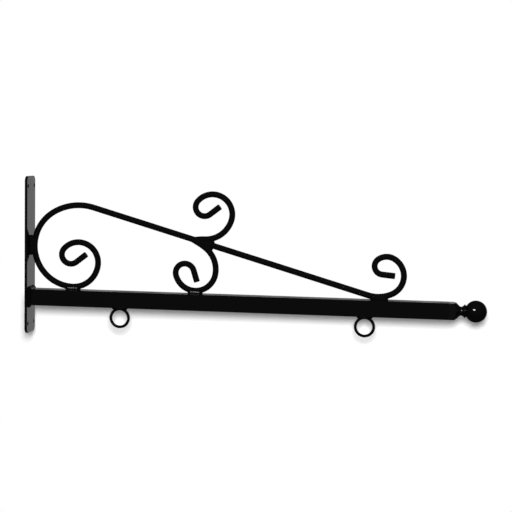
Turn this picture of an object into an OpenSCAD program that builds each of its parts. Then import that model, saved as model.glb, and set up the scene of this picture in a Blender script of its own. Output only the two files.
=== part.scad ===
// Hanging sign bracket: a square arm welded to a wall plate, carried by a scrolled
// round-bar brace, with a ball finial and two rings for the sign.
// Millimetres. X runs out from the wall along the arm, Y across it, Z up.
// The origin is the centre of the wall plate's back face.

/* [Wall plate] */
// Width of the plate, an inch-and-a-quarter flat bar
plate_w = 31.75; // [28:0.25:50]
// Height of the plate
plate_h = 185; // [170:1:260]
// Thickness of the plate, eighth-inch bar
plate_t = 3.175; // [2.5:0.025:6]
// Radius of the plate's rounded corners
plate_corner_r = 6; // [1:0.5:10]
// Diameter of the screw holes
screw_hole_d = 4.5; // [3.5:0.1:5.5]
// Distance from a long edge of the plate to the screw holes
screw_side_gap = 3.875; // [3.25:0.125:6]
// Distance from an end of the plate to its screw holes
screw_end_gap = 11.5; // [8:0.5:20]

/* [Arm] */
// Width and height of the square tube, three quarters of an inch
arm_w = 19.05; // [16:0.05:22]
// Wall of the square tube
arm_wall = 1.6; // [1.2:0.1:3]
// Radius of the tube's outer corners
arm_corner_r = 0.9; // [0.3:0.1:2]
// Length of the tube, from the plate's face
arm_len = 491; // [440:1:700]
// Depth of the arm's axis below the centre of the plate
arm_drop = 50; // [40:0.25:60]

/* [Finial] */
// Length of the finial's square base
finial_base_l = 8; // [5:0.5:20]
// Diameter of the ball, an inch
ball_d = 25.4; // [18:0.1:32]
// Diameter of the neck
neck_d = 10.4; // [7:0.1:12]
// Radius of the cove that forms the neck
cove_r = 2.6; // [1:0.1:5]
// Diameter of the sharp collar between the neck and the ball
collar_d = 15.9; // [14:0.1:18.5]
// Width of the collar's edge
collar_edge = 0.4; // [0.1:0.1:1.5]
// Diameter at the bottom of the groove behind the ball
groove_d = 13; // [10:0.1:13.8]
// Length of the spigot inside the tube
spigot_l = 16; // [8:1:40]
// Clearance all round the spigot
spigot_clearance = 0.1; // [0.05:0.05:0.3]

/* [Round bar] */
// Diameter of the scroll bar, with its coat
bar_d = 7.1; // [5:0.1:7.5]
// Chamfer on the cropped ends of the bar
bar_chamfer = 0.8; // [0.3:0.1:1.2]
// Gap between the arm and what is welded to it, filled by the weld
rest_gap = 0.1; // [0.05:0.05:0.3]

/* [Brace] */
// Gap between the brace and the plate, filled by their weld
wall_gap = 0.8; // [0.1:0.1:1.5]
// Distance from the plate's back to where the brace's far scroll sits on the arm
brace_reach = 412.4; // [380:0.1:420]
// Bend radius where the brace runs along the plate
wall_bend_r = 47; // [44:0.5:50]
// Bend radius over the top of the wall scroll
top_bend_r = 60.5; // [56:0.5:66]
// Turn from the arm round to the top bend, degrees
wall_bend_turn = 147; // [135:1:155]
// Radii of the wall scroll, from the arm in to its eye
wall_curl_r1 = 30; // [28:0.5:33]
// Second radius of the wall scroll
wall_curl_r2 = 23.6; // [22:0.1:26]
// Eye radius of the wall scroll
wall_eye_r = 10.8; // [9.5:0.1:12]
// Turn on the first radius of the wall scroll
wall_curl_turn1 = 82; // [70:1:90]
// Turn on the second radius of the wall scroll
wall_curl_turn2 = 146; // [135:1:155]
// Turn of the eye of the wall scroll
wall_eye_turn = 170; // [160:1:180]
// Straight end of the wall scroll
wall_tail = 15.5; // [8:0.5:16]
// Bend radius where the far scroll sits on the arm
far_bend_r = 39.5; // [36:0.5:44]
// Turn on that radius past the lowest point
far_bend_turn = 24; // [18:1:30]
// Second radius of the far scroll
far_curl_r1 = 22.8; // [21:0.1:26]
// Third radius of the far scroll
far_curl_r2 = 16.8; // [15:0.1:19]
// Eye radius of the far scroll
far_eye_r = 9.6; // [8.5:0.1:11]
// Turn on the second radius of the far scroll
far_curl_turn1 = 126; // [115:1:135]
// Turn on the third radius of the far scroll
far_curl_turn2 = 66; // [55:1:75]
// Turn of the eye of the far scroll
far_eye_turn = 139; // [125:1:150]
// Straight end of the far scroll
far_tail = 15; // [8:0.5:17]

/* [Middle scrolls] */
// Thickness at the feathered end of a scroll, where it has run out into the brace
feather = 0.5; // [0.3:0.1:1.2]
// Bend radius of the lower scroll where it leaves the brace
lower_root_r = 66; // [60:1:72]
// Turn on that radius
lower_root_turn = 18; // [12:1:22]
// Back radius of the lower scroll
lower_back_r = 31.6; // [28:0.2:34]
// Turn on the back radius
lower_back_turn = 61; // [52:1:66]
// Radius of the lower scroll where it sits on the arm
lower_curl_r = 23.8; // [22:0.1:26]
// Turn on that radius behind the lowest point
lower_curl_turn1 = 80; // [72:1:86]
// Turn on that radius past the lowest point
lower_curl_turn2 = 75; // [68:1:82]
// Eye radius of the lower scroll
lower_eye_r = 10.9; // [9.5:0.1:12]
// Turn of the eye of the lower scroll
lower_eye_turn = 178; // [165:1:190]
// Straight end of the lower scroll
lower_tail = 14; // [8:0.5:15]
// Distance along the arm from the lower scroll's root to the upper scroll's
upper_offset = 3.7; // [0:0.1:12]
// Upward tilt of the upper scroll's first run, degrees
upper_tilt = 1.2; // [0:0.1:4]
// First straight run of the upper scroll
upper_run = 13.5; // [11:0.5:18]
// First radius of the upper scroll
upper_root_r = 31.9; // [30:0.1:35]
// Second radius of the upper scroll
upper_curl_r = 23; // [22:0.1:26]
// Eye radius of the upper scroll
upper_eye_r = 10.5; // [9.5:0.1:12]
// Turn on the first radius
upper_root_turn = 72; // [64:1:80]
// Turn on the second radius
upper_curl_turn = 157; // [148:1:166]
// Turn of the eye of the upper scroll
upper_eye_turn = 168; // [158:1:178]
// Straight end of the upper scroll
upper_tail = 15; // [8:0.5:17]

/* [Rings] */
// Wire of the sign rings, with its coat
ring_wire_d = 3.4; // [2.5:0.1:4]
// Clear diameter inside a ring
ring_eye_d = 17.8; // [14:0.5:24]
// Distance from the plate's back to the inner ring
inner_ring_x = 111; // [80:0.5:160]
// Distance from the plate's back to the outer ring
outer_ring_x = 398.5; // [320:0.5:440]

/* [Welds] */
// Leg of the fillet weld round the foot of the arm
root_leg = 3.5; // [2:0.1:4.5]
// Radius of the beads beside the round bar
bead_r = 4.5; // [3.4:0.1:5]
// Length of a bead between the bar and the arm
bead_l = 18; // [12:0.5:24]
// Length of the far scroll's bead
far_bead_l = 21; // [12:0.5:24]
// Distance past the contact at which the far scroll's bead is centred
far_bead_shift = 2.2; // [0:0.1:3]
// Length of the bead between the brace and the plate
wall_bead_l = 22; // [14:0.5:30]
// Radius of the beads above the rings
ring_bead_r = 3; // [2:0.1:3.1]
// Length of a bead above a ring
ring_bead_l = 19.5; // [12:0.5:22]
// Radius of the beads where the middle scrolls leave the brace
joint_bead_r = 3.2; // [2:0.1:3.4]
// Length of those beads
joint_bead_l = 14; // [10:0.5:18]
// Distance from where the upper scroll parts from the brace to the middle of its bead
upper_bead_shift = 3.8; // [2:0.1:6]
// Distance from where the lower scroll parts from the brace to the middle of its bead
lower_bead_shift = 1.9; // [0:0.1:4]

/* [Hidden] */
$fn = 96;
coat = "#1b1b1c";
bead_coat = "#29292a";

// Levels of the arm, and of a bar that sits on it
arm_z = -arm_drop;
arm_top = arm_z + arm_w/2;
arm_bottom = arm_z - arm_w/2;
arm_end = plate_t + arm_len;
bore_w = arm_w - 2*arm_wall;
bar_r = bar_d/2;
bar_z = arm_top + rest_gap + bar_r;

// The collar where one bend of a bar meets the next: how far it stands proud, and its length
joint_skin = 0.02;
joint_w = 0.4;

// Wall scroll: it sits on the arm at its lowest point and stands off the plate by the gap
wall_foot_x = plate_t + wall_gap + bar_r + wall_bend_r;
wall_centre = [wall_foot_x, bar_z + wall_bend_r];
blend_angle = 270 - wall_bend_turn;
top_centre = wall_centre - (top_bend_r - wall_bend_r)*[cos(blend_angle), sin(blend_angle)];

// The straight run is the line that passes over the top bend and under the far bend
far_centre = [brace_reach, bar_z + far_bend_r];
span = far_centre - top_centre;
slope = atan2(span[1], span[0]) - asin((top_bend_r + far_bend_r)/norm(span));
run_start = top_centre + top_bend_r*[-sin(slope), cos(slope)];
run_end = far_centre - far_bend_r*[-sin(slope), cos(slope)];
run_l = norm(run_end - run_start);

// A bend is [radius, turn in degrees, left positive], and a straight is [0, length]
wall_bends = [
    [wall_curl_r1, wall_curl_turn1],
    [wall_curl_r2, wall_curl_turn2],
    [wall_eye_r, wall_eye_turn],
    [0, wall_tail]
];
brace_bends = [
    [wall_bend_r, -wall_bend_turn],
    [top_bend_r, wall_bend_turn - 180 + slope],
    [0, run_l],
    [far_bend_r, far_bend_turn - slope],
    [far_curl_r1, far_curl_turn1],
    [far_curl_r2, far_curl_turn2],
    [far_eye_r, far_eye_turn],
    [0, far_tail]
];
lower_bends = [
    [lower_root_r, -lower_root_turn],
    [lower_back_r, -lower_back_turn],
    [lower_curl_r, -lower_curl_turn1 - lower_curl_turn2],
    [lower_eye_r, -lower_eye_turn],
    [0, lower_tail]
];
upper_bends = [
    [0, upper_run],
    [upper_root_r, upper_root_turn],
    [upper_curl_r, upper_curl_turn],
    [upper_eye_r, upper_eye_turn],
    [0, upper_tail]
];

// Where a path of bends ends, starting at p = [x, z, heading]
function after(p, bend) = bend[0] == 0
    ? [p[0] + bend[1]*cos(p[2]), p[1] + bend[1]*sin(p[2]), p[2]]
    : [
        p[0] + sign(bend[1])*bend[0]*(sin(p[2] + bend[1]) - sin(p[2])),
        p[1] - sign(bend[1])*bend[0]*(cos(p[2] + bend[1]) - cos(p[2])),
        p[2] + bend[1]
    ];
function path_end(p, bends, i = 0) =
    i == len(bends) ? p : path_end(after(p, bends[i]), bends, i + 1);

// Height of the straight run's axis at a distance x from the wall
function run_z(x) = run_start[1] + (x - run_start[0])*tan(slope);

// From its foot on the arm the lower scroll climbs back until it runs out into the brace's underside
root_drop = feather/cos(slope);
lower_climb = path_end([0, bar_z, 0], [
    [lower_curl_r, lower_curl_turn1],
    [lower_back_r, lower_back_turn],
    [lower_root_r, lower_root_turn]
]);
lower_root_x = run_start[0] + (lower_climb[1] + root_drop - run_start[1])/tan(slope);
lower_root = [lower_root_x, lower_climb[1], lower_climb[2] - 180];
lower_foot_x = lower_root_x - lower_climb[0];

// The upper scroll starts on the brace's upper side
upper_root_x = lower_root_x + upper_offset;
upper_root = [upper_root_x, run_z(upper_root_x) + root_drop, upper_tilt];

// Where each middle scroll bends away from the brace
upper_parting = path_end(upper_root, [upper_bends[0]]);
lower_parting = path_end(lower_root, [lower_bends[0]]);

// A ring hangs against the underside of the arm
ring_r = (ring_eye_d + ring_wire_d)/2;
ring_z = arm_bottom - rest_gap - ring_wire_d/2 - ring_r;

// Radii and stations of the finial, measured from the outer end of its square base
neck_r = neck_d/2;
collar_r = collar_d/2;
groove_r = groove_d/2;
cove_edge_r = neck_r + cove_r*(1 - cos(45));
cove_half = cove_r*sin(45);
neck_x = arm_w/2 - cove_edge_r + cove_half;
collar_x = neck_x + cove_half + collar_r - cove_edge_r;
groove_x = collar_x + collar_edge + collar_r - groove_r;
ball_x = groove_x + sqrt(pow(ball_d/2, 2) - pow(groove_r, 2));

// A rectangle across the arm's direction with rounded corners
module rounded_rectangle(w, h, r) {
    square([w, h - 2*r], center = true);
    square([w - 2*r, h], center = true);
    for (y = [-1, 1], z = [-1, 1])
        translate([y*(w/2 - r), z*(h/2 - r)]) circle(r);
}

// Stands a flat outline up across the arm and gives it a length along X
module along_x(l) {
    rotate([90, 0, 90]) linear_extrude(l) children();
}

// Turns a profile of [radius, distance] about the X axis
module turned(angle = 360) {
    rotate([0, 90, 0]) rotate_extrude(angle = angle) children();
}

// Puts what is drawn in the X-Y plane upright in the bracket's plane, from p = [x, z, heading]
module upright(p) {
    translate([p[0], 0, p[1]]) rotate([90, 0, 0]) rotate([0, 0, p[2]]) children();
}

// Bends the round bar along a path: each bend starts where the one before it ends
module bent_bar(bends, i = 0) {
    r = bends[i][0];
    turn = bends[i][1];
    if (r > 0) {
        translate([0, sign(turn)*r, 0]) {
            bend(r, turn);
            if (i < len(bends) - 1)
                rotate([0, 0, turn]) translate([0, -sign(turn)*r, 0]) bent_bar(bends, i + 1);
        }
    } else if (i < len(bends) - 1) {
        straight(turn);
        translate([turn, 0, 0]) bent_bar(bends, i + 1);
    } else {
        cropped_end(turn);
    }
}

// One bend about its own centre, from heading 0, with the collar that the next one starts in
module bend(r, turn) {
    mirror([0, turn > 0 ? 0 : 1, 0]) rotate([0, 0, -90])
        rotate_extrude(angle = abs(turn)) translate([r, 0]) circle(bar_r);
    rotate([0, 0, turn]) translate([0, -sign(turn)*r, 0]) collar();
}

// A straight length, and the same collar
module straight(l) {
    rotate([0, 90, 0]) cylinder(r = bar_r, h = l);
    translate([l, 0, 0]) collar();
}

// A short collar, a hair over the bar, that joins one bend to the next
module collar() {
    rotate([0, 90, 0]) cylinder(r = bar_r + joint_skin, h = joint_w, center = true);
}

// The last straight length of a bar, chamfered where it is cropped
module cropped_end(l) {
    rotate([0, 90, 0]) {
        cylinder(r = bar_r, h = l - bar_chamfer);
        translate([0, 0, l - bar_chamfer])
            cylinder(r1 = bar_r, r2 = bar_r - bar_chamfer, h = bar_chamfer);
    }
}

// A weld bead with round ends, lying along X about its middle
module bead(l, r) {
    rotate([0, 90, 0]) cylinder(r = r, h = l - 2*r, center = true);
    for (x = [-1, 1]) translate([x*(l/2 - r), 0, 0]) sphere(r);
}

// The outside of the arm
module arm_block() {
    translate([plate_t, 0, arm_z])
        along_x(arm_len) rounded_rectangle(arm_w, arm_w, arm_corner_r);
}

module wall_plate() {
    color(coat) difference() {
        along_x(plate_t) rounded_rectangle(plate_w, plate_h, plate_corner_r);
        for (y = [-1, 1], z = [-1, 1])
            translate([-1, y*(plate_w/2 - screw_side_gap), z*(plate_h/2 - screw_end_gap)])
                rotate([0, 90, 0]) cylinder(d = screw_hole_d, h = plate_t + 2);
    }
}

module arm_tube() {
    color(coat) translate([plate_t, 0, arm_z]) along_x(arm_len) difference() {
        rounded_rectangle(arm_w, arm_w, arm_corner_r);
        square(bore_w, center = true);
    }
}

// Turned profile: the base's end, the cove of the neck, the collar and the groove
module finial_profile() {
    difference() {
        polygon([
            [0, -finial_base_l],
            [arm_w, -finial_base_l],
            [arm_w, -arm_w/2],
            [cove_edge_r, neck_x - cove_half],
            [cove_edge_r, neck_x + cove_half],
            [collar_r, collar_x],
            [collar_r, collar_x + collar_edge],
            [groove_r, groove_x],
            [groove_r/2, groove_x + groove_r/2],
            [0, ball_x]
        ]);
        translate([neck_r + cove_r, neck_x]) circle(cove_r);
    }
}

module ball_finial() {
    color(coat) translate([arm_end, 0, arm_z]) {
        translate([-spigot_l, 0, 0])
            along_x(spigot_l) square(bore_w - 2*spigot_clearance, center = true);
        translate([finial_base_l, 0, 0]) {
            intersection() {
                turned() finial_profile();
                union() {
                    translate([-finial_base_l, 0, 0])
                        along_x(finial_base_l + neck_x + cove_half)
                            rounded_rectangle(arm_w, arm_w, arm_corner_r);
                    translate([neck_x, 0, 0]) rotate([0, 90, 0]) cylinder(r = arm_w, h = 2*ball_x);
                }
            }
            translate([ball_x, 0, 0]) sphere(d = ball_d);
        }
    }
}

// One bar: the wall scroll inwards from its foot, and all the rest outwards from there
module brace_scroll() {
    color(coat) upright([wall_foot_x, bar_z, 0]) {
        bent_bar(wall_bends);
        rotate([0, 0, 180]) bent_bar(brace_bends);
    }
}

// The brace as far as its straight run, which is all of it that the middle scrolls meet
module brace_run() {
    upright([wall_foot_x, bar_z, 180]) bent_bar([for (i = [0:2]) brace_bends[i]]);
}

module upper_scroll() {
    color(coat) difference() {
        upper_bar();
        brace_run();
    }
}
module upper_bar() {
    upright(upper_root) bent_bar(upper_bends);
}

module lower_scroll() {
    color(coat) difference() {
        lower_bar();
        brace_run();
    }
}
module lower_bar() {
    upright(lower_root) bent_bar(lower_bends);
}

module ring(x) {
    color(coat) upright([x, ring_z, 0])
        rotate_extrude() translate([ring_r, 0]) circle(d = ring_wire_d);
}
module inner_ring() ring(inner_ring_x);
module outer_ring() ring(outer_ring_x);

// A fillet weld along each side of the arm's foot, turned round each corner
module arm_root_weld() {
    color(bead_coat) translate([plate_t, 0, arm_z])
        for (side = [0:90:270]) rotate([side, 0, 0]) {
            translate([0, 0, arm_w/2])
                rotate([90, 0, 0]) linear_extrude(arm_w - 2*arm_corner_r, center = true)
                    polygon([[0, 0], [root_leg, 0], [0, root_leg]]);
            translate([0, arm_w/2 - arm_corner_r, arm_corner_r - arm_w/2])
                turned(90) polygon([
                    [arm_corner_r, 0],
                    [arm_corner_r + root_leg, 0],
                    [arm_corner_r, root_leg]
                ]);
        }
}

// A bead along the plate, hollowed by the brace beside it
module brace_wall_weld() {
    color(bead_coat) difference() {
        translate([plate_t, 0, wall_centre[1]]) rotate([0, 90, 0]) bead(wall_bead_l, bead_r);
        translate([plate_t - 2*bead_r, -bead_r, wall_centre[1] - wall_bead_l])
            cube([2*bead_r, 2*bead_r, 2*wall_bead_l]);
        brace_scroll();
    }
}

// A bead on the arm at x, hollowed by the scroll that sits in it
module foot_weld(x, l = bead_l) {
    color(bead_coat) difference() {
        difference() {
            translate([x, 0, arm_top]) bead(l, bead_r);
            arm_block();
        }
        children();
    }
}
module wall_scroll_weld() foot_weld(wall_foot_x) brace_scroll();
module lower_scroll_weld() foot_weld(lower_foot_x) lower_bar();
module far_scroll_weld() foot_weld(brace_reach + far_bead_shift, far_bead_l) brace_scroll();

// A bead in the crotch between the brace and a scroll that parts from it at p = [x, z, heading]
module joint_weld(p, shift) {
    color(bead_coat) difference() {
        difference() {
            upright((p + [p[0], run_z(p[0]), slope])/2)
                translate([shift, 0, 0]) bead(joint_bead_l, joint_bead_r);
            brace_run();
        }
        children();
    }
}
module upper_joint_weld() joint_weld(upper_parting, upper_bead_shift) upper_bar();
module lower_joint_weld() joint_weld(lower_parting, lower_bead_shift) lower_bar();

// A bead under the arm, hollowed by the ring
module ring_weld(x) {
    color(bead_coat) difference() {
        translate([x, 0, arm_bottom]) bead(ring_bead_l, ring_bead_r);
        arm_block();
        ring(x);
    }
}
module inner_ring_weld() ring_weld(inner_ring_x);
module outer_ring_weld() ring_weld(outer_ring_x);

wall_plate();
arm_tube();
ball_finial();
brace_scroll();
upper_scroll();
lower_scroll();
inner_ring();
outer_ring();
arm_root_weld();
brace_wall_weld();
wall_scroll_weld();
far_scroll_weld();
lower_scroll_weld();
upper_joint_weld();
lower_joint_weld();
inner_ring_weld();
outer_ring_weld();
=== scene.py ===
"""Hanging sign bracket in black gloss powder coat: a square arm on a wall plate, held by a
scrolled round-bar brace, with a ball finial and two rings under the arm.

Metres. X runs out from the wall along the arm, Y across it, Z up. The origin is the centre of
the wall plate's back face. The tube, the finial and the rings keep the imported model's shapes.
The bars, the plate and the weld beads are made again here, with what bending, grinding and
welding leave on them: bends a little flattened, rounded edges and ripples."""

import math

import bpy
import numpy as np
from mathutils import Matrix, Vector
from mathutils.geometry import tessellate_polygon


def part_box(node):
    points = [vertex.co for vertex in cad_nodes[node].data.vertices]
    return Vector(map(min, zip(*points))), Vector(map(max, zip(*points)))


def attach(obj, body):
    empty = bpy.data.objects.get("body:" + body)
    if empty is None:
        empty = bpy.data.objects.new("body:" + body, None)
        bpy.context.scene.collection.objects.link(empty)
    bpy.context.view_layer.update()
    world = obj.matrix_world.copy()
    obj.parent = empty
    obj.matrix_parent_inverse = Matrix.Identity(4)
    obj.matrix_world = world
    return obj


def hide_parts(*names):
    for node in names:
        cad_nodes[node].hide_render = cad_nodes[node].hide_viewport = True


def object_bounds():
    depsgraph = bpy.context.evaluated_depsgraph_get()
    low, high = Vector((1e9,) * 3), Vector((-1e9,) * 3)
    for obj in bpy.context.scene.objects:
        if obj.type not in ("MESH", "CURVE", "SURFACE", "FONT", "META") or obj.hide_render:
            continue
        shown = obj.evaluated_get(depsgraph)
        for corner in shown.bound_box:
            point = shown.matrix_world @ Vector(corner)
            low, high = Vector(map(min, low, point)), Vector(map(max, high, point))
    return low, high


MM = 0.001

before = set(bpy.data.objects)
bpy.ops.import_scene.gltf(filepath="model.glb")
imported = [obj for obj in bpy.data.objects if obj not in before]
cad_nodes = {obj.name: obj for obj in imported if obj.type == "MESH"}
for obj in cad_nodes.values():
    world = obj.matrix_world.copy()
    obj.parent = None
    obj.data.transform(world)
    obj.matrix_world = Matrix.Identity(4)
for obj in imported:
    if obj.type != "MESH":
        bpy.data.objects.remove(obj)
cad_low, cad_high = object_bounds()
scene = bpy.context.scene

# Photograph: its camera, fitted to the bracket's edges. Pixels, millimetres and radians.
IMAGE_W = 512
FOCAL_PX = 1401.0
SENSOR_MM = 36.0
CAMERA_AT = (497.79, -1594.98, 148.92)
CAMERA_YAW = 0.140934
CAMERA_PITCH = 0.088563
CAMERA_ROLL = 0.017386
CLIP_NEAR_M = 0.05
CLIP_FAR_M = 50.0


def place_camera():
    """Camera at the photograph's place: yaw to the left, pitch down, then roll about the view."""
    data = bpy.data.cameras.new("camera")
    data.sensor_width = SENSOR_MM
    data.lens = SENSOR_MM*FOCAL_PX/IMAGE_W
    data.clip_start = CLIP_NEAR_M
    data.clip_end = CLIP_FAR_M
    ahead = Vector((
        -math.sin(CAMERA_YAW)*math.cos(CAMERA_PITCH),
        math.cos(CAMERA_YAW)*math.cos(CAMERA_PITCH),
        -math.sin(CAMERA_PITCH),
    ))
    right = Vector((math.cos(CAMERA_YAW), math.sin(CAMERA_YAW), 0))
    up = right.cross(ahead)
    side = right*math.cos(CAMERA_ROLL) + up*math.sin(CAMERA_ROLL)
    top = up*math.cos(CAMERA_ROLL) - right*math.sin(CAMERA_ROLL)
    turn = Matrix((side, top, -ahead)).transposed().to_4x4()
    camera = bpy.data.objects.new("camera", data)
    camera.matrix_world = Matrix.Translation(Vector(CAMERA_AT)*MM) @ turn
    scene.collection.objects.link(camera)
    scene.camera = camera


place_camera()


# Helpers for shaders, and for the frame's nodes
def linear(hex_colour):
    """sRGB hex to linear RGBA."""
    srgb = np.array([int(hex_colour[i:i + 2], 16) for i in (1, 3, 5)])/255
    rgb = np.where(srgb <= 0.04045, srgb/12.92, ((srgb + 0.055)/1.055)**2.4)
    return (*map(float, rgb), 1.0)


def add(tree, kind, sockets=None, **settings):
    """Adds a shader node with its settings. A socket takes a value or another node's output."""
    made = tree.nodes.new(kind)
    for name, value in settings.items():
        setattr(made, name, value)
    for socket, value in (sockets or {}).items():
        if isinstance(value, bpy.types.NodeSocket):
            tree.links.new(value, made.inputs[socket])
        else:
            made.inputs[socket].default_value = value
    return made


def new_material(name):
    """A material without shader nodes, and its tree."""
    material = bpy.data.materials.new(name)
    material.use_nodes = True
    material.node_tree.nodes.clear()
    return material, material.node_tree


def node_box_mm(node):
    """Lowest and highest corners of one of the frame's nodes, in millimetres."""
    low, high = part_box(node)
    return np.array(low)/MM, np.array(high)/MM


# Powder coat: polyester powder sprayed on steel and baked. It flows out to a gloss with the
# faint dimples called orange peel, softens small edges and gathers a little dust.
COAT_COLOUR = "#060606"
COAT_COLOUR_DUSTY = "#0b0b0c"
COAT_IOR = 1.5
PEEL_MM = 1.6
PEEL_DEPTH_MM = 0.006
CLOUD_MM = 35.0
DUST_MM = 0.9
DUST_FROM_UPWARD = 0.2
SMOOTHING_MM = 1.0

# Nearly all of a noise's values lie between these
NOISE_LOW = 0.3
NOISE_HIGH = 0.7


def powder_coat(
        name, roughness, peel_depth_mm=PEEL_DEPTH_MM, smooth_from_mm=None, smoothness=1.0):
    """Gloss black powder coat: orange peel as bump, gloss that drifts over a finger's length,
    and a little dust on what faces up. roughness is its lowest and highest. Past smooth_from_mm
    along X the coat has flowed out, and its roughness is multiplied by smoothness."""
    material, tree = new_material(name)
    place = add(tree, "ShaderNodeTexCoord").outputs["Object"]
    peel = add(tree, "ShaderNodeTexNoise", {
        "Vector": place, "Scale": 1/(PEEL_MM*MM), "Detail": 1.5, "Roughness": 0.4})
    cloud = add(tree, "ShaderNodeTexNoise", {
        "Vector": place, "Scale": 1/(CLOUD_MM*MM), "Detail": 3.0, "Roughness": 0.55})
    rough = add(tree, "ShaderNodeMapRange", {
        "Value": cloud.outputs["Fac"], "From Min": NOISE_LOW, "From Max": NOISE_HIGH,
        "To Min": roughness[0], "To Max": roughness[1]}).outputs["Result"]
    if smooth_from_mm is not None:
        along = add(tree, "ShaderNodeSeparateXYZ", {"Vector": place}).outputs["X"]
        flowed = add(tree, "ShaderNodeMapRange", {
            "Value": along, "From Min": smooth_from_mm*MM,
            "From Max": (smooth_from_mm + SMOOTHING_MM)*MM,
            "To Min": 1.0, "To Max": smoothness}).outputs["Result"]
        rough = add(tree, "ShaderNodeMath", {0: rough, 1: flowed}, operation="MULTIPLY").outputs[0]
    speck = add(tree, "ShaderNodeTexNoise", {
        "Vector": place, "Scale": 1/(DUST_MM*MM), "Detail": 2.0, "Roughness": 0.6})
    facing = add(tree, "ShaderNodeSeparateXYZ", {
        "Vector": add(tree, "ShaderNodeNewGeometry").outputs["Normal"]})
    upward = add(tree, "ShaderNodeMapRange", {
        "Value": facing.outputs["Z"], "From Min": DUST_FROM_UPWARD, "From Max": 1.0})
    dust = add(tree, "ShaderNodeMath", {
        0: speck.outputs["Fac"], 1: upward.outputs["Result"]}, operation="MULTIPLY")
    colour = add(tree, "ShaderNodeMix", {
        "Factor": dust.outputs[0], "A": linear(COAT_COLOUR), "B": linear(COAT_COLOUR_DUSTY)},
        data_type="RGBA")
    bump = add(tree, "ShaderNodeBump", {
        "Height": peel.outputs["Fac"], "Strength": 1.0, "Distance": peel_depth_mm*MM})
    coat = add(tree, "ShaderNodeBsdfPrincipled", {
        "Base Color": colour.outputs["Result"], "Roughness": rough, "IOR": COAT_IOR,
        "Normal": bump.outputs["Normal"]})
    add(tree, "ShaderNodeOutputMaterial", {"Surface": coat.outputs["BSDF"]})
    return material


# The coat's gloss follows the steel under it. The flat plate mirrors what stands before it, the
# turned ball shows a small sharp glint, the tube's and bar's mill finish spreads reflections
# out, and on the welds the coat lies uneven.
BAR_ROUGHNESS = (0.22, 0.34)
TUBE_ROUGHNESS = (0.24, 0.36)
PLATE_ROUGHNESS = (0.09, 0.15)
WIRE_ROUGHNESS = (0.2, 0.3)
FINIAL_ROUGHNESS = (0.18, 0.24)
BALL_SMOOTHNESS = 0.25
WELD_ROUGHNESS = (0.16, 0.26)
WELD_PEEL_DEPTH_MM = 0.012

finial_low, finial_high = node_box_mm("ball_finial")
ball_back = finial_high[0] - (finial_high[2] - finial_low[2])

coat_on_bar = powder_coat("powder_coat_on_drawn_bar", BAR_ROUGHNESS)
coat_on_tube = powder_coat("powder_coat_on_welded_tube", TUBE_ROUGHNESS)
coat_on_plate = powder_coat("powder_coat_on_flat_bar", PLATE_ROUGHNESS)
coat_on_wire = powder_coat("powder_coat_on_drawn_wire", WIRE_ROUGHNESS)
coat_on_ball = powder_coat(
    "powder_coat_on_turned_steel", FINIAL_ROUGHNESS, smooth_from_mm=ball_back,
    smoothness=BALL_SMOOTHNESS)
coat_on_weld = powder_coat("powder_coat_on_weld_bead", WELD_ROUGHNESS, WELD_PEEL_DEPTH_MM)


# Mesh helpers
def grid_quads(rows, columns, wrap_rows=False):
    """Quads over points stored row by row. Each row is a closed loop of points, and wrap_rows
    joins the last row to the first."""
    row, column = np.meshgrid(
        np.arange(rows if wrap_rows else rows - 1), np.arange(columns), indexing="ij")
    below = (row + 1) % rows
    beside = (column + 1) % columns
    return np.stack([
        row*columns + column, row*columns + beside,
        below*columns + beside, below*columns + column], axis=-1).reshape(-1, 4)


def end_fans(rows, columns):
    """Triangles that close a stack of loops: the first loop to the point stored after all the
    loops, and the last loop to the one after that."""
    column = np.arange(columns)
    beside = (column + 1) % columns
    first = np.stack([beside, column, np.full(columns, rows*columns)], axis=-1)
    last_row = (rows - 1)*columns
    last = np.stack([
        last_row + column, last_row + beside, np.full(columns, rows*columns + 1)], axis=-1)
    return np.concatenate([first, last])


def volume(points, faces):
    """Six times the volume inside closed faces, positive where they point outwards: the sum of
    the triple products of each face's fan of triangles."""
    total = 0.0
    for face_set in faces:
        corners = points[face_set]
        for k in range(1, corners.shape[1] - 1):
            a, b, c = corners[:, 0], corners[:, k], corners[:, k + 1]
            total += np.einsum("ij,ij->i", a, np.cross(b, c)).sum()
    return total


def new_piece(name, points_mm, faces, finish, node):
    """A mesh piece in the bracket's frame that stands for a node. faces is a list of arrays of
    point numbers, one array for each number of corners."""
    points = points_mm*MM
    if volume(points, faces) < 0:
        faces = [face_set[:, ::-1] for face_set in faces]
    mesh = bpy.data.meshes.new(name)
    mesh.from_pydata(points.tolist(), [], [f for face_set in faces for f in face_set.tolist()])
    mesh.shade_smooth()
    mesh.materials.append(finish)
    piece = bpy.data.objects.new(name, mesh)
    scene.collection.objects.link(piece)
    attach(piece, "root")
    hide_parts(node)
    return piece


# Scroll bars: round bar bent cold round pegs, then cropped. Bending presses it a little thin
# across each bend, and cropping rolls its end over.
bar_low, bar_high = node_box_mm("brace_scroll")
arm_low, arm_high = node_box_mm("arm_tube")
plate_high = node_box_mm("wall_plate")[1]
BAR_R = (bar_high[1] - bar_low[1])/2
REST_GAP_MM = 0.1
BAR_Z = arm_high[2] + REST_GAP_MM + BAR_R
BAR_SIDES = 28
BAR_STEP_MM = 1.6
BAR_FLATTENING = 0.09
BAR_WANDER_MM = 0.12
BAR_WANDER_LENGTH_MM = 170.0
CROP_MM = 0.8
CROP_RINGS = 5
FEATHER_MM = 9.0
FEATHER_TAPER = 0.17
CURVE_BLEND = 9

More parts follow.
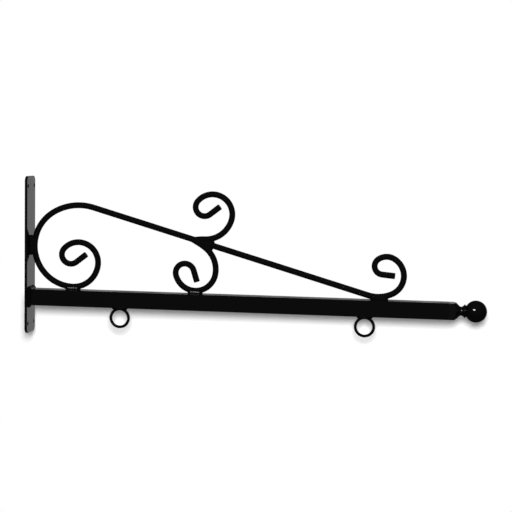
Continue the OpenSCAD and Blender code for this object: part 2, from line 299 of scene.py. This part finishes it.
# A place on a bar is x, z and heading in degrees. A bend is its radius and its turn in degrees,
# left positive, and a straight is 0 and its length.
WALL_GAP_MM = 0.8
WALL_BEND_R = 47.0
WALL_BEND_TURN = 147.0
WALL_SCROLL = ((30, 82), (23.6, 146), (10.8, 170), (0, 15.5))
TOP_BEND_R = 60.5
FAR_FOOT_X = 412.4
FAR_BEND_R = 39.5
FAR_BEND_TURN = 24.0
FAR_SCROLL = ((22.8, 126), (16.8, 66), (9.6, 139), (0, 15))
FEATHER_HALF_MM = 0.5
LOWER_ROOT_BEND = (66, -18)
LOWER_BACK_BEND = (31.6, -61)
LOWER_CURL_R = 23.8
LOWER_CURL_TO_FOOT = 80
LOWER_CURL_PAST_FOOT = 75
LOWER_SCROLL = ((10.9, -178), (0, 14))
UPPER_OFFSET_MM = 3.7
UPPER_TILT = 1.2
UPPER_BENDS = ((0, 13.5), (31.9, 72), (23, 157), (10.5, 168), (0, 15))


def bend_end(place, bend):
    """Where a bend that starts at a place ends: on by the chord of its arc, in the direction
    halfway through its turn."""
    x, z, heading = place
    radius, amount = bend
    turn = amount if radius else 0.0
    chord = 2*radius*math.sin(math.radians(abs(turn)/2)) if radius else amount
    middle = math.radians(heading + turn/2)
    return x + chord*math.cos(middle), z + chord*math.sin(middle), heading + turn


def run_between(over, over_r, under, under_r):
    """The straight line that passes over one circle and under another, as slope in degrees,
    length and start. The length and the sum of the radii are the short sides of a right
    triangle whose long side joins the centres."""
    across, up = under[0] - over[0], under[1] - over[1]
    apart = math.hypot(across, up)
    slope = math.atan2(up, across) - math.asin((over_r + under_r)/apart)
    length = math.sqrt(apart**2 - (over_r + under_r)**2)
    start = (over[0] - over_r*math.sin(slope), over[1] + over_r*math.cos(slope))
    return math.degrees(slope), length, start


def run_z(x):
    """Height of the brace's straight run at a distance x from the wall."""
    return run_start[1] + (x - run_start[0])*math.tan(math.radians(run_slope))


# The wall scroll's foot, and the brace up the plate, over the top and down to the far scroll
wall_foot_x = plate_high[0] + WALL_GAP_MM + BAR_R + WALL_BEND_R
blend = math.radians(270 - WALL_BEND_TURN)
top_centre = (
    wall_foot_x - (TOP_BEND_R - WALL_BEND_R)*math.cos(blend),
    BAR_Z + WALL_BEND_R - (TOP_BEND_R - WALL_BEND_R)*math.sin(blend))
run_slope, run_mm, run_start = run_between(
    top_centre, TOP_BEND_R, (FAR_FOOT_X, BAR_Z + FAR_BEND_R), FAR_BEND_R)
brace_bends = (
    (WALL_BEND_R, -WALL_BEND_TURN), (TOP_BEND_R, WALL_BEND_TURN - 180 + run_slope), (0, run_mm),
    (FAR_BEND_R, FAR_BEND_TURN - run_slope), *FAR_SCROLL)

# The lower scroll climbs back from its foot on the arm until it runs out into the brace's
# underside, and the upper scroll starts a little further out on its upper side
root_drop = FEATHER_HALF_MM/math.cos(math.radians(run_slope))
climb = (0, BAR_Z, 0)
for radius, turn in ((LOWER_CURL_R, -LOWER_CURL_TO_FOOT), LOWER_BACK_BEND, LOWER_ROOT_BEND):
    climb = bend_end(climb, (radius, -turn))
lower_root_x = run_start[0] + (
    climb[1] + root_drop - run_start[1])/math.tan(math.radians(run_slope))
lower_root = (lower_root_x, climb[1], climb[2] - 180)
lower_bends = (
    LOWER_ROOT_BEND, LOWER_BACK_BEND,
    (LOWER_CURL_R, -LOWER_CURL_TO_FOOT - LOWER_CURL_PAST_FOOT), *LOWER_SCROLL)
upper_root_x = lower_root_x + UPPER_OFFSET_MM
upper_root = (upper_root_x, run_z(upper_root_x) + root_drop, UPPER_TILT)


def walk(start, bends):
    """Centre line of a bent bar as rows of x, z, heading, curvature and radius. The heading
    turns at a steady rate along each bend, and each step is the chord of its short arc. At the
    end the radius draws in along a quarter circle, where the bar is cropped."""
    steps, turns = [], []
    for bend_r, amount in (*bends[:-1], (0, bends[-1][1] - CROP_MM)):
        length = bend_r*abs(math.radians(amount)) if bend_r else amount
        turn = math.radians(amount) if bend_r else 0.0
        count = max(2, math.ceil(length/BAR_STEP_MM))
        steps.append(np.full(count, length/count))
        turns.append(np.full(count, turn/count))
    step, turn = np.concatenate(steps), np.concatenate(turns)
    heading = math.radians(start[2]) + np.concatenate([[0], np.cumsum(turn)])
    middle = heading[:-1] + turn/2
    chord = step*np.sinc(turn/2/math.pi)
    x = start[0] + np.concatenate([[0], np.cumsum(chord*np.cos(middle))])
    z = start[1] + np.concatenate([[0], np.cumsum(chord*np.sin(middle))])
    curvature = np.concatenate([np.abs(turn/step), [0]])
    roll = np.linspace(0, math.pi/2, CROP_RINGS + 1)[1:]
    past = CROP_MM*np.sin(roll)
    radius = np.concatenate([np.full(len(x), BAR_R), BAR_R - CROP_MM*(1 - np.cos(roll))])
    x = np.concatenate([x, x[-1] + past*math.cos(heading[-1])])
    z = np.concatenate([z, z[-1] + past*math.sin(heading[-1])])
    heading = np.concatenate([heading, np.full(CROP_RINGS, heading[-1])])
    curvature = np.concatenate([curvature, np.zeros(CROP_RINGS)])
    return np.stack([x, z, heading, curvature, radius], axis=1)


def bar_piece(node, line):
    """Round bar carried along its centre line. Each ring lies square to the heading, and is
    pressed thin in the plane of a bend in proportion to the curvature, averaged over a few
    rings, and half as much wide across it. A slow sine along the bar takes it a hair sideways."""
    x, z, heading, curvature, radius = line.T
    along = np.concatenate([[0], np.cumsum(np.hypot(np.diff(x), np.diff(z)))])
    pad = CURVE_BLEND//2
    bend = np.convolve(
        np.pad(curvature, pad, mode="edge"), np.full(CURVE_BLEND, 1/CURVE_BLEND), mode="valid")
    thin = BAR_FLATTENING*BAR_R*bend
    y = BAR_WANDER_MM*np.sin(2*math.pi*along/BAR_WANDER_LENGTH_MM)
    turn = np.linspace(0, 2*math.pi, BAR_SIDES, endpoint=False)
    across = (radius*(1 - thin))[:, None]*np.cos(turn)
    beside = (radius*(1 + thin/2))[:, None]*np.sin(turn)
    rings = np.stack([
        x[:, None] - across*np.sin(heading)[:, None],
        y[:, None] + beside,
        z[:, None] + across*np.cos(heading)[:, None]], axis=-1)
    ends = np.stack([x, y, z], axis=1)[[0, -1]]
    points = np.concatenate([rings.reshape(-1, 3), ends])
    faces = [grid_quads(len(line), BAR_SIDES), end_fans(len(line), BAR_SIDES)]
    new_piece(node + "_bar", points, faces, coat_on_bar, node)


def turned_back(line):
    """The same centre line walked the other way."""
    return line[::-1] + np.array([0, 0, math.pi, 0, 0])


def feathered(line):
    """Draws a bar's first stretch in, where it has been hammered thin to run into the brace."""
    x, z = line[:, 0], line[:, 1]
    along = np.concatenate([[0], np.cumsum(np.hypot(np.diff(x), np.diff(z)))])
    part = np.clip(along/FEATHER_MM, 0, 1)
    line = line.copy()
    line[:, 4] *= 1 - FEATHER_TAPER*(1 - part*part*(3 - 2*part))
    return line


outward = walk((wall_foot_x, BAR_Z, 180), brace_bends)
inward = walk((wall_foot_x, BAR_Z, 0), WALL_SCROLL)
bar_piece("brace_scroll", np.concatenate([turned_back(inward)[:-1], outward]))
bar_piece("upper_scroll", feathered(walk(upper_root, UPPER_BENDS)))
bar_piece("lower_scroll", feathered(walk(lower_root, lower_bends)))


# Wall plate: flat bar cut to length, its corners and edges ground round, with four drilled holes
CORNER_R_MM = 6.0
EDGE_R_MM = 0.5
HOLE_R_MM = 2.25
HOLE_EDGE_R_MM = 0.3
HOLE_Y_MM = 12.0
HOLE_Z_MM = 81.0
EDGE_STEPS = 6
CORNER_STEPS = 10
HOLE_STEPS = 36


def outline_loop(inset):
    """The plate's outline drawn in by inset: a quarter circle about each corner's centre."""
    corner_r = CORNER_R_MM - inset
    angle = np.linspace(0, math.pi/2, CORNER_STEPS)
    quarter = corner_r*np.stack([np.cos(angle), np.sin(angle)], axis=1)
    centre = np.array([plate_high[1] - CORNER_R_MM, plate_high[2] - CORNER_R_MM])
    return np.concatenate([
        quarter + centre,
        quarter[::-1]*(-1, 1) + centre*(-1, 1),
        -quarter - centre,
        quarter[::-1]*(1, -1) + centre*(1, -1)])


def hole_loop(y, z, radius):
    """A circle, turning the other way to the outline."""
    angle = -np.linspace(0, 2*math.pi, HOLE_STEPS, endpoint=False)
    return np.stack([y + radius*np.cos(angle), z + radius*np.sin(angle)], axis=1)


def edge_profile(edge_r):
    """Pairs of inset and distance from the back: a quarter circle from the front face to the
    side, and another from the side to the back face."""
    angle = np.linspace(0, math.pi/2, EDGE_STEPS + 1)
    inset = edge_r*(1 - np.sin(angle))
    drop = edge_r*(1 - np.cos(angle))
    front = np.stack([inset, plate_high[0] - drop], axis=1)
    back = np.stack([inset[::-1], drop[::-1]], axis=1)
    return np.concatenate([front, back])


def wall_plate_piece():
    """The outline and each hole are stacks of loops that follow the edge profile, and the flat
    faces fill what lies between their first loops and between their last."""
    stacks = [[(outline_loop(inset), x) for inset, x in edge_profile(EDGE_R_MM)]]
    for y in (-HOLE_Y_MM, HOLE_Y_MM):
        for z in (-HOLE_Z_MM, HOLE_Z_MM):
            stacks.append([
                (hole_loop(y, z, HOLE_R_MM + inset), x)
                for inset, x in edge_profile(HOLE_EDGE_R_MM)])
    points, quads, fronts, backs = [], [], [], []
    count = 0
    for stack in stacks:
        columns = len(stack[0][0])
        loops = [np.column_stack([np.full(columns, x), loop]) for loop, x in stack]
        points.append(np.concatenate(loops))
        quads.append(grid_quads(len(stack), columns)[:, ::-1] + count)
        fronts.append(np.arange(columns) + count)
        backs.append(np.arange(columns) + count + (len(stack) - 1)*columns)
        count += len(stack)*columns
    points = np.concatenate(points)
    flats = []
    for loops, facing in ((fronts, 1), (backs, -1)):
        numbers = np.concatenate(loops)
        filled = np.array(tessellate_polygon([[Vector(p) for p in points[loop]] for loop in loops]))
        a, b, c = (points[numbers[filled[:, k]]] for k in range(3))
        wrong = np.cross(b - a, c - a)[:, 0]*facing < 0
        filled[wrong] = filled[wrong][:, ::-1]
        flats.append(numbers[filled])
    piece = new_piece(
        "wall_plate_ground", points, [np.concatenate(quads), *flats], coat_on_plate,
        "wall_plate")
    weighted = piece.modifiers.new("flat_faces_flat", "WEIGHTED_NORMAL")
    weighted.keep_sharp = False


wall_plate_piece()


# Weld beads: laid by hand, each a row of overlapping ripples left as the pool moved on. A
# wave's radian is the length in which its phase grows by one.
RIPPLE_MM = 2.1
RIPPLE_DEPTH_MM = 0.24
RIPPLE_BOW = 0.05
SLOW_SHIFT_MM = 0.3
SLOW_RADIAN_MM = 3.1
QUICK_SHIFT_MM = 0.17
QUICK_RADIAN_MM = 1.3
QUICK_SEED_FACTOR = 2.3
SWELL_SHARE = 0.2
SWELL_RADIAN_MM = 5.3
BEAD_SINK_MM = 0.3
BEAD_SIDES = 40
BEAD_RINGS = 130
FIRST_RING = 0.02
CROWN_ANGLE = 60.0


def ripples(along, across, seed):
    """Height of a bead's ripples, from 0 to 1: low parabolas between sharp creases. The creases
    bow back with the square of the distance across. A hand's unsteadiness, the sum of a slow
    and a quick sine, shifts them, and a third sine makes them higher and lower."""
    unsteady = (
        SLOW_SHIFT_MM*np.sin(along/SLOW_RADIAN_MM + seed)
        + QUICK_SHIFT_MM*np.sin(along/QUICK_RADIAN_MM + QUICK_SEED_FACTOR*seed))
    phase = (along + unsteady)/RIPPLE_MM + RIPPLE_BOW*across**2
    part = phase - np.floor(phase)
    swell = 1 - SWELL_SHARE + SWELL_SHARE*np.sin(along/SWELL_RADIAN_MM + seed)
    return (1 - (2*part - 1)**2)*swell


def bead_piece(
        node, middle, direction, out, length, radius, ridge=0.0, fullness=2.0,
        sink=BEAD_SINK_MM):
    """A round-ended run of weld: rings about its own line, with the radius of a capsule and the
    ripples on top, cut flat at the depth of sink under the surface that it lies on. The rings'
    places along it are the cosines of even angles, from FIRST_RING. Each ring is a superellipse
    with fullness as its power, 2 for a circle. ridge is the angle of each side's crown from
    straight out, where a bar divides the bead in two. The length of the node's name seeds the
    ripples."""
    direction, out = np.array(direction, float), np.array(out, float)
    side = np.cross(direction, out)
    along = -length/2*np.cos(np.linspace(FIRST_RING, math.pi - FIRST_RING, BEAD_RINGS))
    into_end = np.clip(np.abs(along) - (length/2 - radius), 0, None)
    ring_r = np.sqrt(np.clip(radius**2 - into_end**2, 0, None))[:, None]
    angle = np.linspace(-math.pi, math.pi, BEAD_SIDES, endpoint=False)
    across = radius*(np.abs(angle) - math.radians(ridge))
    raised = RIPPLE_DEPTH_MM*ripples(along[:, None], across, len(node))
    full = (np.abs(np.cos(angle))**fullness + np.abs(np.sin(angle))**fullness)**(-1/fullness)
    reach = ring_r*(full + (raised - RIPPLE_DEPTH_MM/2)/radius)
    height = np.maximum(reach*np.cos(angle), -sink)
    rings = (
        np.array(middle) + along[:, None, None]*direction
        + (reach*np.sin(angle))[..., None]*side + height[..., None]*out)
    ends = np.array(middle) + np.array([[-length/2], [length/2]])*direction
    points = np.concatenate([rings.reshape(-1, 3), ends])
    faces = [grid_quads(BEAD_RINGS, BEAD_SIDES), end_fans(BEAD_RINGS, BEAD_SIDES)]
    return new_piece(node + "_bead", points, faces, coat_on_weld, node)


FOOT_BEAD_FULLNESS = 4


def foot_bead(node):
    """The weld of a scroll's foot, along the top of the arm on both sides of the bar."""
    low, high = node_box_mm(node)
    middle = ((low[0] + high[0])/2, 0, arm_high[2])
    return bead_piece(
        node, middle, (1, 0, 0), (0, 0, 1), high[0] - low[0], high[1],
        ridge=CROWN_ANGLE, fullness=FOOT_BEAD_FULLNESS)


def ring_bead(node):
    """The weld of a ring, along the underside of the arm."""
    low, high = node_box_mm(node)
    middle = ((low[0] + high[0])/2, 0, arm_low[2])
    bead_piece(node, middle, (1, 0, 0), (0, 0, -1), high[0] - low[0], high[1])


WALL_BEAD_LAP_MM = 2.0
WALL_BEAD_FULLNESS = 3


def wall_bead(node):
    """The weld between the brace and the plate, up the plate's face, run on a little at its
    upper end into the notch between them."""
    low, high = node_box_mm(node)
    middle = (plate_high[0], 0, (low[2] + high[2])/2 + WALL_BEAD_LAP_MM/2)
    bead_piece(
        node, middle, (0, 0, 1), (1, 0, 0), high[2] - low[2] + WALL_BEAD_LAP_MM, high[1],
        ridge=CROWN_ANGLE, fullness=WALL_BEAD_FULLNESS)


JOINT_BEAD_MM = 14.0
JOINT_BEAD_R_MM = 3.2
UPPER_BEAD_SHIFT_MM = 3.8
LOWER_BEAD_SHIFT_MM = 1.9


def joint_bead(node, parting, shift):
    """The weld in the crotch where a middle scroll parts from the brace: halfway between the
    two bars' lines, and shifted on from the parting."""
    x, z, heading = parting
    crotch = (x, (z + run_z(x))/2, (heading + run_slope)/2)
    x, z, heading = bend_end(crotch, (0, shift))
    turn = math.radians(heading)
    direction = (math.cos(turn), 0, math.sin(turn))
    bead_piece(
        node, (x, 0, z), direction, (0, -1, 0), JOINT_BEAD_MM, JOINT_BEAD_R_MM,
        sink=JOINT_BEAD_R_MM)


ROOT_LEG_MM = 3.5
ROOT_BULGE_MM = 0.3
ROOT_CORNER_MM = 0.9
ROOT_STEPS = 84
ROOT_CORNER_STEPS = 10
ROOT_FACE_STEPS = 14


def root_bead(node):
    """The fillet round the arm's foot: a profile carried round the arm's rounded square. Its
    face runs from a toe on the plate to a toe on the arm, at 45 degrees. Square to itself it
    swells by a parabola, and carries ripples that fade with the parabola's root towards both
    toes. Its other two sides lie just under the plate's face and the arm's."""
    half = arm_high[1] - ROOT_CORNER_MM
    level = (arm_low[2] + arm_high[2])/2
    run = np.linspace(-half, half, ROOT_STEPS, endpoint=False)
    bend = np.linspace(0, math.pi/2, ROOT_CORNER_STEPS, endpoint=False)
    top = np.column_stack([run, np.full(ROOT_STEPS, arm_high[1])])
    corner = half + ROOT_CORNER_MM*np.column_stack([np.sin(bend), np.cos(bend)])
    side = np.concatenate([top, corner])
    away = np.concatenate([np.tile([0.0, 1.0], (ROOT_STEPS, 1)), (corner - half)/ROOT_CORNER_MM])
    path, normal = [side], [away]
    for _ in range(3):
        path.append(np.column_stack([path[-1][:, 1], -path[-1][:, 0]]))
        normal.append(np.column_stack([normal[-1][:, 1], -normal[-1][:, 0]]))
    path, normal = np.concatenate(path), np.concatenate(normal)
    along = np.concatenate([[0], np.cumsum(np.hypot(*np.diff(path, axis=0).T))])
    along = along*(round(along[-1]/RIPPLE_MM)*RIPPLE_MM)/along[-1]
    part = np.linspace(0, 1, ROOT_FACE_STEPS)
    swell = 4*part*(1 - part)
    raised = ROOT_BULGE_MM*swell + RIPPLE_DEPTH_MM*swell**0.5*ripples(
        along[:, None], ROOT_LEG_MM*(part - 0.5)*2, 0.0)
    outward = np.broadcast_to(ROOT_LEG_MM*(1 - part), raised.shape) + raised*math.sqrt(0.5)
    forward = np.broadcast_to(ROOT_LEG_MM*part, raised.shape) + raised*math.sqrt(0.5)
    hidden = np.array([(-BEAD_SINK_MM, ROOT_LEG_MM), (-BEAD_SINK_MM, -BEAD_SINK_MM),
                       (ROOT_LEG_MM, -BEAD_SINK_MM)])
    outward = np.concatenate([outward, np.tile(hidden[:, 0], (len(path), 1))], axis=1)
    forward = np.concatenate([forward, np.tile(hidden[:, 1], (len(path), 1))], axis=1)
    points = np.stack([
        plate_high[0] + forward,
        path[:, None, 0] + outward*normal[:, None, 0],
        level + path[:, None, 1] + outward*normal[:, None, 1]], axis=-1)
    quads = grid_quads(len(path), outward.shape[1], wrap_rows=True)
    new_piece(node + "_bead", points.reshape(-1, 3), [quads], coat_on_weld, node)


root_bead("arm_root_weld")
wall_bead("brace_wall_weld")
joint_bead("upper_joint_weld", bend_end(upper_root, UPPER_BENDS[0]), UPPER_BEAD_SHIFT_MM)
joint_bead("lower_joint_weld", bend_end(lower_root, LOWER_ROOT_BEND), LOWER_BEAD_SHIFT_MM)
ring_bead("inner_ring_weld")
ring_bead("outer_ring_weld")
inner_foot_welds = [foot_bead(node) for node in ("wall_scroll_weld", "lower_scroll_weld")]
foot_bead("far_scroll_weld")

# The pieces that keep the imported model's own shape
KEPT_FINISH = {
    "arm_tube": coat_on_tube,
    "ball_finial": coat_on_ball,
    "inner_ring": coat_on_wire,
    "outer_ring": coat_on_wire,
}
for name, finish in KEPT_FINISH.items():
    cad_nodes[name].data.materials.clear()
    cad_nodes[name].data.materials.append(finish)


# Stage: a white card just behind the bracket keeps its shadow, and a pale floor lies below
CARD_GAP_MM = 16.0
CARD_GLOW = 0.19
CARD_PLAIN_ABOVE_MM = -48.0
CARD_BAND_TOP_MM = -62.0
CARD_BAND_BOTTOM_MM = -160.0
CARD_PLAIN_BELOW_MM = -210.0
FLOOR_GLOW = 0.2
FLOOR_Z_MM = -420.0
STAGE_MM = 3000.0
WHITE = "#e8e8e8"


def sheet(name, corners, material):
    """A flat stage sheet from its four corners, in millimetres."""
    mesh = bpy.data.meshes.new(name)
    mesh.from_pydata([Vector(c)*MM for c in corners], [], [(0, 1, 2, 3)])
    mesh.materials.append(material)
    made = bpy.data.objects.new(name, mesh)
    scene.collection.objects.link(made)
    return made


def card_material():
    """Matt white card that keeps shadows in a band below the arm, and glows plain white above
    and below the band. From behind, and to all but the camera, it is clear."""
    material, tree = new_material("matt_card")
    matt = add(tree, "ShaderNodeBsdfDiffuse", {"Color": linear(WHITE)})
    lift = add(tree, "ShaderNodeEmission", {"Color": (1, 1, 1, 1), "Strength": CARD_GLOW})
    band = add(tree, "ShaderNodeAddShader", {0: matt.outputs[0], 1: lift.outputs[0]})
    plain = add(tree, "ShaderNodeEmission", {"Color": (1, 1, 1, 1), "Strength": 1.0})
    place = add(tree, "ShaderNodeSeparateXYZ", {
        "Vector": add(tree, "ShaderNodeTexCoord").outputs["Object"]})
    above = add(tree, "ShaderNodeMapRange", {
        "Value": place.outputs["Z"],
        "From Min": CARD_BAND_TOP_MM*MM, "From Max": CARD_PLAIN_ABOVE_MM*MM})
    below = add(tree, "ShaderNodeMapRange", {
        "Value": place.outputs["Z"],
        "From Min": CARD_BAND_BOTTOM_MM*MM, "From Max": CARD_PLAIN_BELOW_MM*MM})
    outside = add(tree, "ShaderNodeMath", {
        0: above.outputs["Result"], 1: below.outputs["Result"]}, operation="MAXIMUM")
    front = add(tree, "ShaderNodeMixShader", {
        0: outside.outputs[0], 1: band.outputs[0], 2: plain.outputs[0]})
    clear = add(tree, "ShaderNodeBsdfTransparent")
    camera_only = add(tree, "ShaderNodeMixShader", {
        0: add(tree, "ShaderNodeLightPath").outputs["Is Camera Ray"],
        1: clear.outputs[0], 2: front.outputs[0]})
    front_only = add(tree, "ShaderNodeMixShader", {
        0: add(tree, "ShaderNodeNewGeometry").outputs["Backfacing"],
        1: camera_only.outputs[0], 2: clear.outputs[0]})
    add(tree, "ShaderNodeOutputMaterial", {"Surface": front_only.outputs[0]})
    return material


def floor_material():
    """Pale matt floor, clear from below."""
    material, tree = new_material("pale_floor")
    matt = add(tree, "ShaderNodeBsdfDiffuse", {"Color": linear(WHITE)})
    lift = add(tree, "ShaderNodeEmission", {"Color": (1, 1, 1, 1), "Strength": FLOOR_GLOW})
    both = add(tree, "ShaderNodeAddShader", {0: matt.outputs[0], 1: lift.outputs[0]})
    top_only = add(tree, "ShaderNodeMixShader", {
        0: add(tree, "ShaderNodeNewGeometry").outputs["Backfacing"],
        1: both.outputs[0], 2: add(tree, "ShaderNodeBsdfTransparent").outputs[0]})
    add(tree, "ShaderNodeOutputMaterial", {"Surface": top_only.outputs[0]})
    return material


half = STAGE_MM/2
card_y = cad_high.y/MM + CARD_GAP_MM
sheet("card", [
    (-half, card_y, FLOOR_Z_MM), (half, card_y, FLOOR_Z_MM),
    (half, card_y, half), (-half, card_y, half),
], card_material())
floor = sheet("floor", [
    (-half, -half, FLOOR_Z_MM), (half, -half, FLOOR_Z_MM),
    (half, half, FLOOR_Z_MM), (-half, half, FLOOR_Z_MM),
], floor_material())
floor.visible_glossy = False
floor.visible_diffuse = False


# World: the backdrop that gloss sees is a cone about +Y that ends a little above the horizon.
# Angles in degrees.
AMBIENT = 0.1
GLOSS_DARK = 0.018
GLOSS_BACKDROP = 0.57
BACKDROP_HALF_ANGLE = 36.0
BACKDROP_FADE = 4.0
BACKDROP_TOP = 9.0
BACKDROP_TOP_FADE = 9.0
GLOSS_FRONT = 0.04
FRONT_RISE = 30.0
FRONT_FULL_ANGLE = 15.0
FRONT_DARK_ANGLE = 90.0


def light_world():
    """White for the camera and even soft light for matt things. Glossy things see a pale
    backdrop behind the bracket, a dim patch high in front, and a dark room elsewhere."""
    world = bpy.data.worlds.new("studio")
    scene.world = world
    world.use_nodes = True
    tree = world.node_tree
    tree.nodes.clear()
    ray = add(tree, "ShaderNodeLightPath")
    direction = add(tree, "ShaderNodeTexCoord").outputs["Generated"]
    toward = add(tree, "ShaderNodeSeparateXYZ", {"Vector": direction})
    angle = add(tree, "ShaderNodeMath", {0: toward.outputs["Y"]}, operation="ARCCOSINE")
    window = add(tree, "ShaderNodeMapRange", {
        "Value": angle.outputs[0],
        "From Min": math.radians(BACKDROP_HALF_ANGLE + BACKDROP_FADE),
        "From Max": math.radians(BACKDROP_HALF_ANGLE),
        "To Min": 0.0, "To Max": GLOSS_BACKDROP})
    under_top = add(tree, "ShaderNodeMapRange", {
        "Value": toward.outputs["Z"],
        "From Min": math.sin(math.radians(BACKDROP_TOP + BACKDROP_TOP_FADE)),
        "From Max": math.sin(math.radians(BACKDROP_TOP)), "To Min": 0.0, "To Max": 1.0})
    backdrop = add(tree, "ShaderNodeMath", {
        0: window.outputs["Result"], 1: under_top.outputs["Result"]}, operation="MULTIPLY")
    rise = math.radians(FRONT_RISE)
    front_cosine = add(tree, "ShaderNodeVectorMath", {
        0: direction, 1: (0, -math.cos(rise), math.sin(rise))}, operation="DOT_PRODUCT")
    front_angle = add(
        tree, "ShaderNodeMath", {0: front_cosine.outputs["Value"]}, operation="ARCCOSINE")
    front = add(tree, "ShaderNodeMapRange", {
        "Value": front_angle.outputs[0],
        "From Min": math.radians(FRONT_DARK_ANGLE), "From Max": math.radians(FRONT_FULL_ANGLE),
        "To Min": GLOSS_DARK, "To Max": GLOSS_FRONT}, interpolation_type="SMOOTHSTEP")
    room = add(tree, "ShaderNodeMath", {
        0: backdrop.outputs[0], 1: front.outputs["Result"]}, operation="ADD")
    gloss = add(tree, "ShaderNodeMath", {
        0: ray.outputs["Is Glossy Ray"], 1: ray.outputs["Is Transmission Ray"]},
        operation="MAXIMUM")
    matt_or_gloss = add(tree, "ShaderNodeMix", {
        "Factor": gloss.outputs[0], "A": AMBIENT, "B": room.outputs[0]},
        data_type="FLOAT")
    level = add(tree, "ShaderNodeMix", {
        "Factor": ray.outputs["Is Camera Ray"], "A": matt_or_gloss.outputs["Result"], "B": 1.0},
        data_type="FLOAT")
    background = add(tree, "ShaderNodeBackground", {
        "Color": (1, 1, 1, 1), "Strength": level.outputs["Result"]})
    add(tree, "ShaderNodeOutputWorld", {"Surface": background.outputs[0]})


light_world()


def softbox(name, at_mm, aim_mm, size_mm, watts, gloss=True, matt=True):
    """A round or oval soft light at a place, turned to face another."""
    data = bpy.data.lights.new(name, "AREA")
    data.shape = "ELLIPSE"
    data.size = size_mm[0]*MM
    data.size_y = size_mm[1]*MM
    data.energy = watts
    lamp = bpy.data.objects.new(name, data)
    place = Vector(at_mm)*MM
    lamp.matrix_world = Matrix.Translation(place) @ (
        (Vector(aim_mm)*MM - place).to_track_quat("-Z", "Y").to_matrix().to_4x4())
    lamp.visible_camera = False
    lamp.visible_glossy = gloss
    lamp.visible_diffuse = matt
    scene.collection.objects.link(lamp)
    return lamp


# Lamps: the key stands over the camera, so that shadows fall straight down the card. The glint
# is for gloss alone, on the ball and on the welds of the two inner feet.
KEY_AT_MM = (498, -1600, 450)
KEY_AIM_MM = (270, 0, -50)
KEY_SIZE_MM = (540, 540)
KEY_WATTS = 36.0
GLINT_AT_MM = (80, -1250, 560)
GLINT_AIM_MM = (524, 0, -50)
GLINT_SIZE_MM = (640, 380)
GLINT_WATTS = 10.5

softbox("key", KEY_AT_MM, KEY_AIM_MM, KEY_SIZE_MM, KEY_WATTS, gloss=False)
glint = softbox("glint", GLINT_AT_MM, GLINT_AIM_MM, GLINT_SIZE_MM, GLINT_WATTS, matt=False)
lit_by_glint = bpy.data.collections.new("lit_by_glint")
for piece in (cad_nodes["ball_finial"], *inner_foot_welds):
    lit_by_glint.objects.link(piece)
glint.light_linking.receiver_collection = lit_by_glint

scene.view_settings.view_transform = "Standard"
